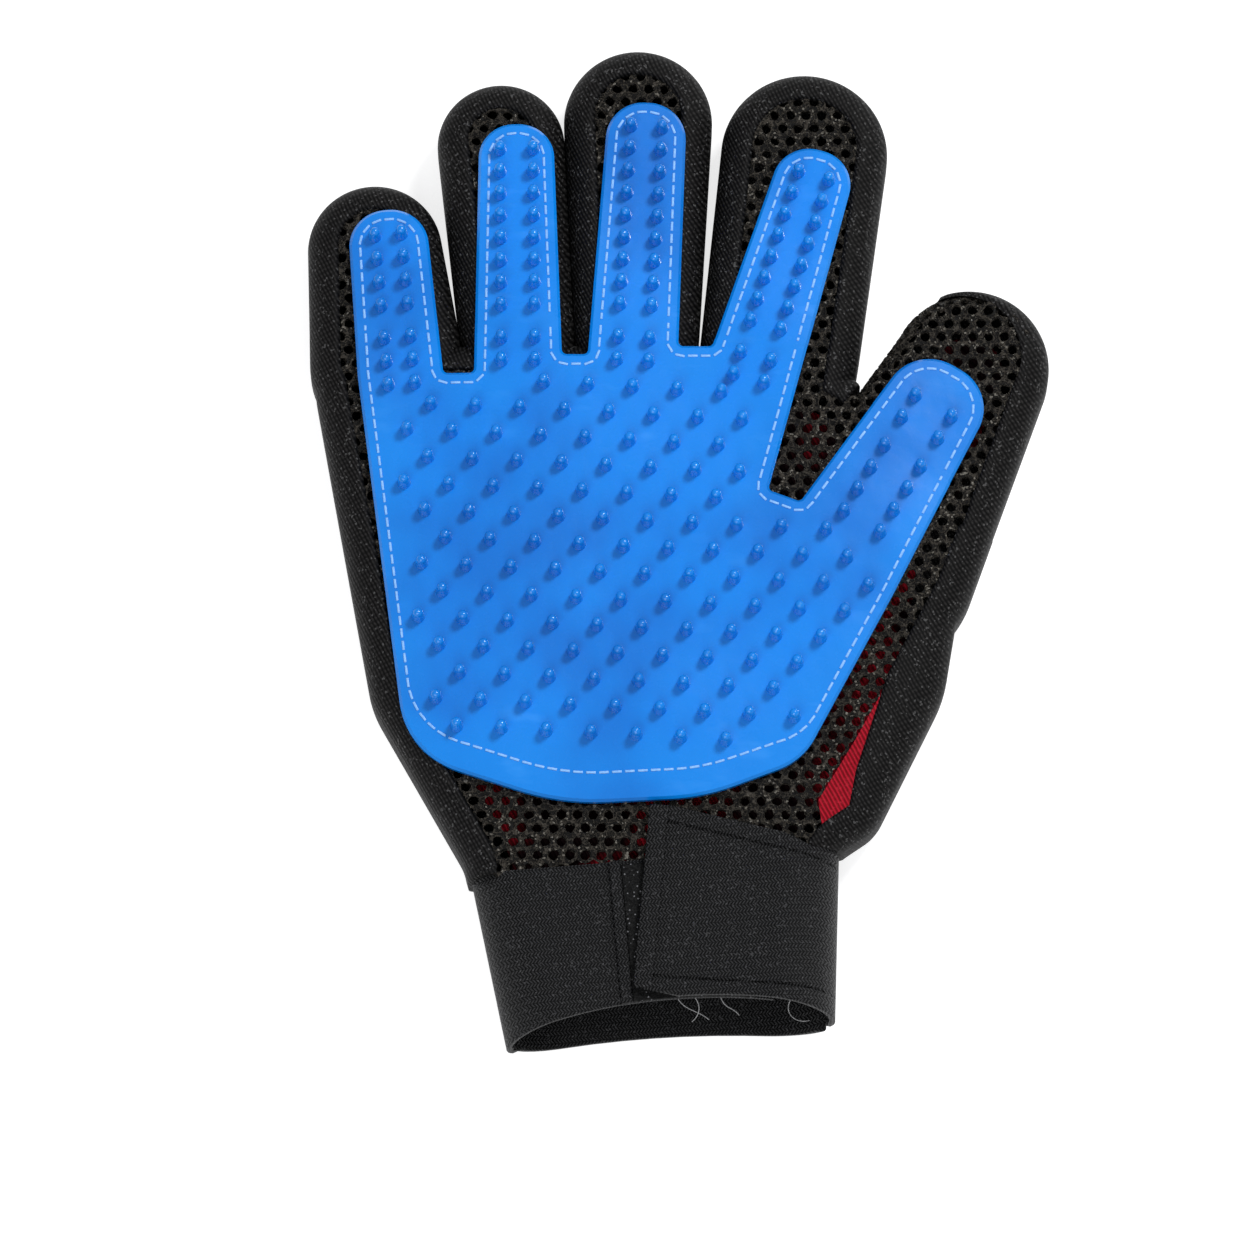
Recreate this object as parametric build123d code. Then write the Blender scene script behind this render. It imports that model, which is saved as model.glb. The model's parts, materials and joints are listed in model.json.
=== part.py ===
from build123d import *
import os
from dataclasses import dataclass
from math import acos, atan2, cos, degrees, dist, hypot, radians, sin

# A five-finger grooming glove for the right hand, lying on its back with the studded
# palm up. All sizes are in millimetres. +Z is up out of the palm, +Y runs to the
# fingertips, +X to the thumb, and the origin is on the floor under the middle of the palm.

# ---- fabric shell ----
GLOVE_H = 20.0          # thickness of the glove as it lies
FABRIC_T = 2.0          # mesh, knit and border fabric
EDGE_R = 7.0            # roundness of the shell's long edges
BORDER_W = 5.6          # how far the knit border comes up over the palm side
LINING_T = 0.8          # thin red lining inside the back
LINING_INSET = 10.0     # the lining stays on the flat floor of the shell
KNUCKLE_GAP = 0.3       # cut between the palm and a finger, so that the finger can bend
TALL = 60.0             # taller than anything in the glove

# ---- rubber pad ----
PAD_T = 2.0
PAD_TOP = GLOVE_H + PAD_T
PAD_BEVEL = 0.6
CROTCH_R = 1.2          # corners between the strips
STUD_H = 4.5
STUD_BASE_R = 1.6
STUD_TIP_R = 1.2
STUD_MARGIN = 5.4       # bare rim round the studs
STUD_SPACING = 4.9      # least distance between two studs
KNUCKLE_STUD = 4.0      # rows stay this far from a knuckle line, so they clear when it bends
KNUCKLE_ENDS = 4.0      # a knuckle line counts this far past the finger's sides
LATTICE_X = 10.4        # staggered studs on the palm
LATTICE_Y = 6.45
LATTICE_TURN = -3.0
LATTICE_START = (3.8, 19.2)
LATTICE_ROWS = range(-14, 9)
LATTICE_COLUMNS = range(-9, 8)

# ---- thread ----
STITCH_PITCH = 3.0
STITCH_LEN = 2.3
STITCH_W = 0.6
STITCH_T = 0.3
STITCH_MIN = 0.8        # a stitch cut shorter than this by a knuckle line is left out
STITCH_INSET = 2.5
STITCH_LIFT = 4.4       # extra inset of the seam along the pad's lower edge

# ---- wrist cuff, in its own frame: origin at the seam's middle, +Y to the fingers ----
CUFF_ORIGIN = (0.1, -67.2)
CUFF_TURN = 5.0
CUFF_L = 42.2
CUFF_SHIFT = -1.55      # the bare tube sits left of the middle, the tab fills the right
SEAM_W, SEAM_H = 82.5, GLOVE_H
WRIST_W, WRIST_H = 72.7, 26.0
CUFF_ARCH = 7.8         # the front edge curves up by this much in the middle
ELASTIC_T = 1.4
LOOP_T = 0.8
TAPE_GAP = 0.3          # clearance between the loop and the hook side
HOOK_T = 0.6
TAB_IN = LOOP_T + TAPE_GAP + HOOK_T
TAB_OUT = TAB_IN + ELASTIC_T
HEM_T = 0.5
BINDING_W = 2.8
BINDING_T = 1.0
BAND_END = 24.0         # the front band ends here, under the tab
LOOP_SPAN = (-8.2, 20.0)
HOOK_SPAN = (1.5, 17.0)
LOOP_BELOW_SEAM = 1.0
HOOK_BELOW_SEAM = 2.0
LOOP_END = 40.2         # the loop patch stops just short of the front edge
TAB_REACH = 12.0        # the tab's upper edge runs this far up over the palm
ARCH_TOP_X = 3.7
# The tab seen from above, from its free end over its upper edge to the fold and below.
TAB_CORNERS = [
    (-0.3, 12.0), (5.1, 11.2), (30.0, 3.0), (36.5, -0.6),
    (60.0, -0.6), (60.0, -60.0), (8.0, -60.0), (6.0, -35.5), (-7.9, -31.3),
]
# The folded hem at the tab's free end lies left of the slanting line in here.
HEM_CORNERS = [(-20.0, 13.0), (4.4, 13.0), (-4.4, -36.0), (-20.0, -36.0)]


@dataclass
class Finger:
    """A finger of the shell: its centre line and radii, its knuckle line, its pad strip."""
    name: str
    root: tuple
    tip: tuple
    r_root: float
    r_tip: float
    reach: float            # how far its tube runs back into the palm
    knuckle: tuple          # a point of the knuckle line and its direction in degrees
    strip_root: tuple
    strip_tip: tuple
    strip_r_root: float
    strip_r_tip: float
    column_gap: float       # distance between the two columns of studs
    stud_pitch: float
    rows_beyond: int        # rows of studs on the finger
    rows_before: int        # rows of the same columns on the palm


FINGERS = [
    Finger("little", (-63.7, 61.4), (-65.8, 81.2), 16.5, 14.9, 8.0, (-63.5, 61.4, 5.6),
           (-59.5, 49.2), (-62.3, 79.9), 10.0, 9.1, 6.2, 5.7, 4, 3),
    Finger("ring", (-32.4, 61.4), (-36.2, 107.2), 12.7, 14.1, 25.0, (-32.2, 61.4, 3.0),
           (-32.0, 51.6), (-32.5, 101.7), 10.3, 8.65, 7.8, 5.5, 8, 2),
    Finger("middle", (-4.3, 61.4), (-3.9, 112.9), 13.9, 16.6, 25.0, (-4.3, 61.4, 0.5),
           (-5.1, 54.5), (-2.1, 106.3), 10.5, 9.2, 7.4, 5.5, 9, 2),
    Finger("index", (29.2, 55.6), (35.3, 104.9), 17.8, 18.7, 25.0, (28.9, 56.4, -4.0),
           (23.4, 52.4), (36.7, 95.2), 10.5, 8.9, 7.4, 5.5, 8, 2),
    Finger("thumb", (54.9, 16.4), (73.6, 52.4), 23.4, 18.0, 12.0, (62.1, 29.7, -47.1),
           (46.7, 10.3), (65.1, 41.0), 15.0, 11.0, 9.8, 6.2, 2, 4),
]
THUMB = FINGERS[-1]

# Corners of the palm's outline and their radii, from the little finger down and round.
PALM_CORNERS = [
    (-80.6, 57.0, 10), (-65.0, -29.0, 25), (-43.0, -68.0, 14), (-41.3, -88.0, 10),
    (41.2, -82.0, 10), (40.2, -65.5, 8), (50.5, -58.5, 12), (66.5, -26.0, 30),
    (71.5, 4.0, 20), (60.0, 34.0, 10), (46.5, 48.8, 10), (30.0, 57.0, 10),
]
# On the thumb side the border is wider: this is its inner edge, from the thumb to the wrist.
WIDE_BORDER_EDGE = [(71.5, 12.0), (67.0, 0.0), (54.9, -23.4), (47.5, -46.0), (43.8, -64.6)]
# The red wedge lies against that edge; these are the corners of its palm-side edge.
GUSSET_INNER_EDGE = [(39.0, -62.0), (37.8, -53.3), (46.3, -39.1)]

# The pad's lower outline: corner, radius, and how the corner slides when the edge is lifted.
PAD_FOOT = [
    (34.2, -44.2, 16, 0.53), (11.0, -53.2, 50, 0.0),
    (-22.0, -54.7, 60, 0.0), (-57.6, -43.0, 20, -0.13),
]
PAD_CROTCH_Y = [49.2, 53.6, 55.7]
PAD_NOTCH = [(26.4, 20.7), (33.9, 17.8)]


def capsule(start, r_start, end, r_end):
    """The outline of two circles and their common tangents."""
    heading = atan2(end[1] - start[1], end[0] - start[0])
    spread = acos((r_start - r_end) / hypot(end[0] - start[0], end[1] - start[1]))

    def on_circle(centre, radius, angle):
        return (centre[0] + radius * cos(angle), centre[1] + radius * sin(angle))

    right_a = on_circle(start, r_start, heading - spread)
    right_b = on_circle(end, r_end, heading - spread)
    left_a = on_circle(start, r_start, heading + spread)
    left_b = on_circle(end, r_end, heading + spread)
    return make_face([
        Line(right_a, right_b),
        ThreePointArc(right_b, on_circle(end, r_end, heading), left_b),
        Line(left_b, left_a),
        ThreePointArc(left_a, on_circle(start, -r_start, heading), right_a),
    ])


def finger_outline(finger, inset=0.0):
    """The finger seen from above, with its tube run back into the palm."""
    back = finger.reach / dist(finger.root, finger.tip)
    base = tuple(r - back * (t - r) for r, t in zip(finger.root, finger.tip))
    r_base = finger.r_root - back * (finger.r_tip - finger.r_root)
    return capsule(base, r_base - inset, finger.tip, finger.r_tip - inset)


def rounded_face(corners, radii):
    return make_face(FilletPolyline(*corners, radius=radii, close=True).edges())


def palm_outline(inset=0.0):
    outline = rounded_face([(x, y) for x, y, r in PALM_CORNERS], [r for x, y, r in PALM_CORNERS])
    return offset(outline, -inset) if inset else outline


def pillow(outline, floor, height, radius):
    """An outline raised to a block with rounded long edges."""
    block = extrude(outline, height)
    rims = block.edges().group_by(Axis.Z)
    return Pos(0, 0, floor) * fillet(rims[0] + rims[-1], radius)


def beyond_knuckle(finger, gap=0.0):
    """Everything on the fingertip side of the knuckle line."""
    x, y, turn = finger.knuckle
    return Location((x, y, 0), (0, 0, turn)) * Pos(0, 100 + gap, 0) * Box(300, 200, 2 * TALL)


def finger_zone(finger, gap=0.0):
    """The room over one finger, from its knuckle line to past its tip."""
    return extrude(finger_outline(finger), TALL) & beyond_knuckle(finger, gap)


def upper_half():
    return Pos(0, 0, GLOVE_H / 2 + TALL / 2) * Box(600, 600, TALL)


def lower_half():
    return Pos(0, 0, GLOVE_H / 2 - TALL / 2) * Box(600, 600, TALL)


def in_cuff_frame(shape):
    return Location((*CUFF_ORIGIN, 0), (0, 0, CUFF_TURN)) * shape


def below_seam():
    return in_cuff_frame(Pos(0, -100, 0) * Box(300, 200, 2 * TALL))


def finger_shell(finger):
    outer = pillow(finger_outline(finger), 0, GLOVE_H, EDGE_R)
    inner = pillow(
        finger_outline(finger, FABRIC_T), FABRIC_T, GLOVE_H - 2 * FABRIC_T, EDGE_R - FABRIC_T
    )
    return (outer - inner) & beyond_knuckle(finger, KNUCKLE_GAP)


def finger_panel_prism(finger):
    """The part of a finger that the palm-side and back panels cover."""
    if finger is not THUMB:
        return extrude(finger_outline(finger, BORDER_W), GLOVE_H)
    # The thumb's mesh wraps over its inner side, so its only border is on the outer side.
    heading = atan2(THUMB.tip[1] - THUMB.root[1], THUMB.tip[0] - THUMB.root[0])
    shift = (BORDER_W + 1) / 2
    inner_side = Pos(-shift * sin(heading), shift * cos(heading), 0)
    return inner_side * extrude(finger_outline(THUMB, (BORDER_W - 1) / 2), GLOVE_H)


def palm_shell():
    outer = pillow(palm_outline(), 0, GLOVE_H, EDGE_R)
    inner_h = GLOVE_H - 2 * FABRIC_T
    inner_r = EDGE_R - FABRIC_T
    inner = pillow(palm_outline(FABRIC_T), FABRIC_T, inner_h, inner_r)
    for finger in FINGERS:
        outer += pillow(finger_outline(finger), 0, GLOVE_H, EDGE_R) - beyond_knuckle(finger)
        inner += pillow(finger_outline(finger, FABRIC_T), FABRIC_T, inner_h, inner_r)
    shell = outer - inner - below_seam()
    for finger in FINGERS:
        shell -= finger_zone(finger)
    return shell


def wide_border():
    """The wider stretch of border below the thumb."""
    outside = [(80, -75), (85, 12)]
    return extrude(make_face(Polyline(*WIDE_BORDER_EDGE, (46, -75), *outside, close=True)), GLOVE_H)


def gusset_prism():
    edge = WIDE_BORDER_EDGE[2:]
    return extrude(make_face(Polyline(*edge, *GUSSET_INNER_EDGE, close=True)), GLOVE_H)


def palm_panel_prism():
    prism = extrude(palm_outline(BORDER_W), GLOVE_H)
    for finger in FINGERS[:-1]:
        prism += extrude(finger_outline(finger, BORDER_W), GLOVE_H)
    prism += finger_panel_prism(THUMB) & beyond_knuckle(THUMB, -30)
    return prism - wide_border()


def group(solids):
    """Several separate solids as one piece."""
    solids = list(solids)
    return Compound(children=solids) if len(solids) > 1 else solids[0]


def fabric_pieces():
    """The sewn shell, split into its cut pieces."""
    shell = palm_shell()
    panel = palm_panel_prism()
    top = shell & panel & upper_half()
    border = (shell - panel).solids()
    little_side = [s for s in border if s.center().X < -50]
    thumb_side = [s for s in border if s.center().X > 35 and s.center().Y < 30]
    crotches = [s for s in border if s not in little_side and s not in thumb_side]
    pieces = {
        "palm_mesh_panel": top - gusset_prism(),
        "thumb_gusset": top & gusset_prism(),
        "hand_back_panel": shell & panel & lower_half(),
        "little_side_border": group(little_side),
        "thumb_side_border": group(thumb_side),
        "finger_crotch_borders": group(crotches),
    }
    for finger in FINGERS:
        shell = finger_shell(finger)
        panel = finger_panel_prism(finger)
        pieces[f"{finger.name}_mesh_panel"] = shell & panel & upper_half()
        pieces[f"{finger.name}_back_panel"] = shell & panel & lower_half()
        pieces[f"{finger.name}_border"] = shell - panel
    return pieces


def linings():
    """The thin red lining on the inner face of the back, under the palm and in the thumb."""
    palm = Pos(0, 0, FABRIC_T) * extrude(palm_outline(LINING_INSET), LINING_T)
    for finger in FINGERS:
        palm -= beyond_knuckle(finger) & extrude(finger_outline(finger), TALL)
    thumb = Pos(0, 0, FABRIC_T) * extrude(finger_outline(THUMB, LINING_INSET), LINING_T)
    return {
        "palm_lining": palm - below_seam(),
        "thumb_lining": thumb & beyond_knuckle(THUMB, KNUCKLE_GAP),
    }


def strip_axes(finger):
    """Unit vectors along and across a pad strip."""
    dx = finger.strip_tip[0] - finger.strip_root[0]
    dy = finger.strip_tip[1] - finger.strip_root[1]
    length = hypot(dx, dy)
    return (dx / length, dy / length), (-dy / length, dx / length)


def strip_point(finger, along, across):
    """A point of a pad strip, measured from the middle of its root."""
    u, n = strip_axes(finger)
    return (
        finger.strip_root[0] + along * u[0] + across * n[0],
        finger.strip_root[1] + along * u[1] + across * n[1],
    )


def pad_outline(lift=0.0):
    """The pad seen from above: five strips with round tips, and the rounded heel."""
    corners = []
    for number, finger in enumerate(FINGERS):
        u = strip_axes(finger)[0]
        length = dist(finger.strip_root, finger.strip_tip)
        r_root, r_tip = finger.strip_r_root, finger.strip_r_tip
        left, right = strip_point(finger, 0, r_root), strip_point(finger, 0, -r_root)
        tip_left = strip_point(finger, length + r_tip, r_tip)
        tip_right = strip_point(finger, length + r_tip, -r_tip)
        if number and finger is not THUMB:
            floor = PAD_CROTCH_Y[number - 1]
            corners.append((left[0] - (left[1] - floor) * u[0] / u[1], floor, CROTCH_R))
        elif finger is THUMB:
            corners.append((*PAD_NOTCH[0], CROTCH_R))
            corners.append((*PAD_NOTCH[1], CROTCH_R))
        else:
            corners.append((*left, CROTCH_R))
        corners.append((*tip_left, r_tip * 0.97))
        corners.append((*tip_right, r_tip * 0.97))
        if number < 3:
            floor = PAD_CROTCH_Y[number]
            corners.append((right[0] - (right[1] - floor) * u[0] / u[1], floor, CROTCH_R))
    corners.append((*strip_point(THUMB, -8, -THUMB.strip_r_root), 30))
    corners += [(x + slide * lift, y + lift, r) for x, y, r, slide in PAD_FOOT]
    return rounded_face([(x, y) for x, y, r in corners], [r for x, y, r in corners])


def past_knuckle(finger, x, y):
    """Distance of a point past the knuckle line, towards the fingertip."""
    kx, ky, turn = finger.knuckle
    return -(x - kx) * sin(radians(turn)) + (y - ky) * cos(radians(turn))


def finger_of(x, y):
    """The finger whose pad strip holds this point, or None on the palm."""
    for finger in FINGERS:
        n = strip_axes(finger)[1]
        across = (x - finger.strip_root[0]) * n[0] + (y - finger.strip_root[1]) * n[1]
        if abs(across) < finger.strip_r_root + 1 and past_knuckle(finger, x, y) > 0:
            return finger
    return None


def at_a_knuckle(x, y, clearance):
    """Whether a point is closer than this to the knuckle line of any finger."""
    return any(
        abs(past_knuckle(f, x, y)) < clearance
        and hypot(x - f.root[0], y - f.root[1]) < f.r_root + KNUCKLE_ENDS
        for f in FINGERS
    )


def column_studs(finger):
    """Two columns of studs along a strip, with the knuckle line between two rows."""
    at_knuckle = -past_knuckle(finger, *finger.strip_root) / (
        past_knuckle(finger, *strip_point(finger, 1, 0)) - past_knuckle(finger, *finger.strip_root)
    )
    spots = []
    for side in (-1, 1):
        across = side * finger.column_gap / 2
        for row in range(-finger.rows_before, finger.rows_beyond):
            step = KNUCKLE_STUD + finger.stud_pitch * row
            if row < 0:
                step = -KNUCKLE_STUD + finger.stud_pitch * (row + 1)
            spots.append(strip_point(finger, at_knuckle + step, across))
    return spots


def lattice_studs(taken, face):
    """The staggered lattice over the palm, kept clear of the rim and of the columns."""
    spots = []
    turn = radians(LATTICE_TURN)
    for row in LATTICE_ROWS:
        for column in LATTICE_COLUMNS:
            a = (column + 0.5 * (row % 2)) * LATTICE_X
            b = row * LATTICE_Y
            x = LATTICE_START[0] + a * cos(turn) - b * sin(turn)
            y = LATTICE_START[1] + a * sin(turn) + b * cos(turn)
            clear = all(hypot(x - p, y - q) > STUD_SPACING for p, q in taken)
            clear = clear and not finger_of(x, y) and not at_a_knuckle(x, y, KNUCKLE_STUD)
            if clear and face.is_inside((x, y, 0)):
                spots.append((x, y))
    return spots


def stud(x, y):
    """A short tapered pin with a round tip."""
    taper_h = STUD_H - STUD_TIP_R
    profile = make_face([
        Line((0, 0), (STUD_BASE_R, 0)),
        Line((STUD_BASE_R, 0), (STUD_TIP_R, taper_h)),
        CenterArc((0, taper_h), STUD_TIP_R, 0, 90),
        Line((0, STUD_H), (0, 0)),
    ])
    return Pos(x, y, PAD_TOP) * revolve(Plane.XZ * profile, Axis.Z)


def rubber_pad():
    """The moulded pad, with its studs, parted at the knuckle lines."""
    outline = pad_outline()
    slab = extrude(outline, PAD_T)
    slab = chamfer(slab.edges().group_by(Axis.Z)[-1], PAD_BEVEL)
    slab = Pos(0, 0, GLOVE_H) * slab
    columns = [spot for finger in FINGERS for spot in column_studs(finger)]
    studded = offset(pad_outline(STITCH_LIFT), -STUD_MARGIN).face()
    spots = columns + lattice_studs(columns, studded)
    pieces = {}
    palm = slab
    for finger in FINGERS:
        mine = [stud(x, y) for x, y in spots if finger_of(x, y) is finger]
        strip = slab & finger_zone(finger, KNUCKLE_GAP)
        pieces[f"{finger.name}_pad_strip"] = strip + mine
        palm -= finger_zone(finger)
    pieces["palm_pad"] = palm + [stud(x, y) for x, y in spots if not finger_of(x, y)]
    print("studs", len(spots))
    return pieces


def stitch(x, y, z, heading, length):
    return Location((x, y, z + STITCH_T / 2), (0, 0, heading)) * Box(length, STITCH_W, STITCH_T)


def kept_stitch(spot, run):
    """The part of a stitch that stays on one side of every knuckle line, along its run."""
    low, high = -STITCH_LEN / 2, STITCH_LEN / 2
    for finger in FINGERS:
        if hypot(spot.X - finger.root[0], spot.Y - finger.root[1]) > finger.r_root + KNUCKLE_ENDS:
            continue
        past = past_knuckle(finger, spot.X, spot.Y)
        slope = past_knuckle(finger, spot.X + run.X, spot.Y + run.Y) - past
        if abs(past) > STITCH_LEN / 2 + 2 * KNUCKLE_GAP:
            continue
        limit = 2 * KNUCKLE_GAP if past > 0 else -KNUCKLE_GAP
        cut = (limit - past) / slope
        if (past > 0) == (slope > 0):
            low = max(low, cut)
        else:
            high = min(high, cut)
    return low, high


def pad_stitching():
    """The seam that holds the pad to the mesh, as one row of stitches round its rim."""
    line = offset(pad_outline(STITCH_LIFT), -STITCH_INSET).face().outer_wire()
    count = round(line.length / STITCH_PITCH)
    groups = {finger.name: [] for finger in FINGERS}
    groups["palm"] = []
    for number in range(count):
        spot = line @ (number / count)
        run = line % (number / count)
        low, high = kept_stitch(spot, run)
        if high - low < STITCH_MIN:
            continue
        middle = spot + run * ((low + high) / 2)
        finger = finger_of(middle.X, middle.Y)
        owner = finger.name if finger else "palm"
        heading = degrees(atan2(run.Y, run.X))
        groups[owner].append(stitch(middle.X, middle.Y, PAD_TOP, heading, high - low))
    return {f"{owner}_pad_stitching": group(solids) for owner, solids in groups.items()}


def cuff_section(y, grow):
    """The cuff's flattened ring at one distance from the seam, grown by one layer."""
    share = max(0.0, -y / CUFF_L)
    width = SEAM_W + share * (WRIST_W - SEAM_W) + 2 * grow
    height = SEAM_H + share * (WRIST_H - SEAM_H)
    plane = Plane(origin=(CUFF_SHIFT, y, height / 2), x_dir=(1, 0, 0), z_dir=(0, -1, 0))
    return plane * SlotOverall(width, height + 2 * grow)


def cuff_block(grow, top):
    """The cuff filled solid, from a little past the seam (top) to the wrist end."""
    stations = [top, 0, -CUFF_L] if top > 0 else [0, -CUFF_L]
    return loft([cuff_section(y, grow) for y in stations], ruled=True)


def cuff_layer(inner, outer, top=0.0):
    return cuff_block(outer, top) - cuff_block(inner, top)


def cuff_front_half():
    """Everything above the cuff's side folds."""
    tilt = degrees(atan2((WRIST_H - SEAM_H) / 2, CUFF_L))
    return Location((0, 0, SEAM_H / 2), (tilt, 0, 0)) * Pos(0, 0, TALL / 2) * Box(300, 300, TALL)


def strip_between(x_low, x_high, y_low=-100.0, y_high=100.0):
    from_corner = (Align.MIN, Align.MIN, Align.CENTER)
    return Pos(x_low, y_low, 0) * Box(x_high - x_low, y_high - y_low, 2 * TALL, align=from_corner)


def arch_cut():
    """What the curved front edge leaves out at the wrist end."""
    half = WRIST_W / 2 + 8
    end = -CUFF_L - 1
    curve = ThreePointArc((-half, end), (ARCH_TOP_X, -CUFF_L + CUFF_ARCH), (half, end))
    below = Polyline((half, end), (half, end - 30), (-half, end - 30), (-half, end))
    return Pos(0, 0, -TALL) * extrude(make_face([curve, *below.edges()]), 2 * TALL)


def above_and_below(corners):
    """An outline raised far above and below the glove, to cut a piece to it."""
    return Pos(0, 0, -TALL) * extrude(make_face(Polyline(*corners, close=True)), 2 * TALL)


def cuff_pieces():
    """The elastic cuff and its hook-and-loop closure, built in the cuff's own frame."""
    front = cuff_front_half() - arch_cut()
    elastic = cuff_layer(-ELASTIC_T, 0)
    hook_in = LOOP_T + TAPE_GAP
    binding_span = (LOOP_SPAN[0] - BINDING_W, LOOP_SPAN[0])
    tab = cuff_layer(TAB_IN, TAB_OUT, TAB_REACH) & front & above_and_below(TAB_CORNERS)
    loop = cuff_layer(0, LOOP_T) & front
    hook = cuff_layer(hook_in, TAB_IN) & front
    hem = cuff_layer(TAB_OUT, TAB_OUT + HEM_T, TAB_REACH) & front & above_and_below(TAB_CORNERS)
    return {
        "cuff_front_band": elastic & front & strip_between(-SEAM_W, BAND_END),
        "cuff_back_band": elastic - cuff_front_half(),
        "loop_patch": loop & strip_between(*LOOP_SPAN, -LOOP_END, -LOOP_BELOW_SEAM),
        "loop_patch_binding": cuff_layer(0, BINDING_T) & front & strip_between(*binding_span),
        "hook_patch": hook & strip_between(*HOOK_SPAN, -SEAM_W, -HOOK_BELOW_SEAM),
        "closure_tab": tab,
        "tab_end_hem": hem & above_and_below(HEM_CORNERS),
    }


def main():
    os.makedirs("parts", exist_ok=True)
    pieces = fabric_pieces()
    pieces.update(linings())
    pieces.update(rubber_pad())
    pieces.update(pad_stitching())
    pieces.update({name: in_cuff_frame(piece) for name, piece in cuff_pieces().items()})
    for name, piece in pieces.items():
        export_step(piece, f"parts/{name}.step")


main()
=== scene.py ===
import json
import math
from math import cos, pi, radians, sin

import bpy
from mathutils import Matrix, Vector
from mathutils.bvhtree import BVHTree

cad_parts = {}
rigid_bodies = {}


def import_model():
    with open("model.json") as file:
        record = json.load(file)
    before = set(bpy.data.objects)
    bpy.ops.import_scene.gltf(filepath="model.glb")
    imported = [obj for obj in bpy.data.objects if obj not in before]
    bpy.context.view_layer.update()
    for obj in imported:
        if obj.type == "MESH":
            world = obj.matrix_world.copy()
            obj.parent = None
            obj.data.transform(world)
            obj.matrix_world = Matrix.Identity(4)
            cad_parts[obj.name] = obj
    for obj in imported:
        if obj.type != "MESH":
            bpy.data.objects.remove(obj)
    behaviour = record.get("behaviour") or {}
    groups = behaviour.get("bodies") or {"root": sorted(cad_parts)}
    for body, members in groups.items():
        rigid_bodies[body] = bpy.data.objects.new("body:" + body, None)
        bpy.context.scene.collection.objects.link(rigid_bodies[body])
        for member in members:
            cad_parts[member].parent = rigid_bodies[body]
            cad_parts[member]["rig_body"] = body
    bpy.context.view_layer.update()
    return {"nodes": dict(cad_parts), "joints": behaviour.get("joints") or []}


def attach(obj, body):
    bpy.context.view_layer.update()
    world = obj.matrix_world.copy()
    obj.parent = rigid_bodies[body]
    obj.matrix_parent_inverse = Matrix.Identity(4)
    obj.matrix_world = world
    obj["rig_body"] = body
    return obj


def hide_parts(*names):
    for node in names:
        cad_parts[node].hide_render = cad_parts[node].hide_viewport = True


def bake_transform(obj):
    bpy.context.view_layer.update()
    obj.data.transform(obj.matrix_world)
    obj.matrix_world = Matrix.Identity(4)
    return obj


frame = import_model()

MM = 0.001
FINGERS = ["little", "ring", "middle", "index", "thumb"]
KNUCKLES = {f: j for f in FINGERS for j in frame["joints"] if j["name"] == f + "_knuckle_bend"}


# ---- The rubber pad ----
# One glossy blue moulding of soft thermoplastic rubber with round-tipped studs, sewn to
# the mesh. It lies a little limp, and it is cut at each knuckle line into a palm piece and finger
# pieces.

PAD_CUT = 5 * MM         # cuts across the pad, so that it can drape
LIMP = 3.4 * MM          # how far the empty glove rises and falls over the palm
DRAPE_FULL = 18 * MM     # the height from which a piece follows that rise and fall in full
PARTING = 0.35 * MM      # a finger piece is cut this close to its knuckle line
KNUCKLE_REACH = 40 * MM  # a knuckle line counts this far to each side of its middle
WELD = 0.01 * MM         # points closer than this are one


class Signal:
    """A shader socket that plain arithmetic extends with Math nodes."""

    def __init__(self, finish, socket):
        self.finish, self.socket = finish, socket

    def maths(self, operation, first, second):
        return self.finish.node("Math", {"operation": operation}, {0: first, 1: second})

    def __add__(self, other):
        return self.maths("ADD", self, other)

    __radd__ = __add__

    def __sub__(self, other):
        return self.maths("SUBTRACT", self, other)

    def __rsub__(self, other):
        return self.maths("SUBTRACT", other, self)

    def __mul__(self, other):
        return self.maths("MULTIPLY", self, other)

    __rmul__ = __mul__

    def __abs__(self):
        return self.maths("ABSOLUTE", self, 0)

    def __gt__(self, other):
        return self.maths("GREATER_THAN", self, other)


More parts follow.
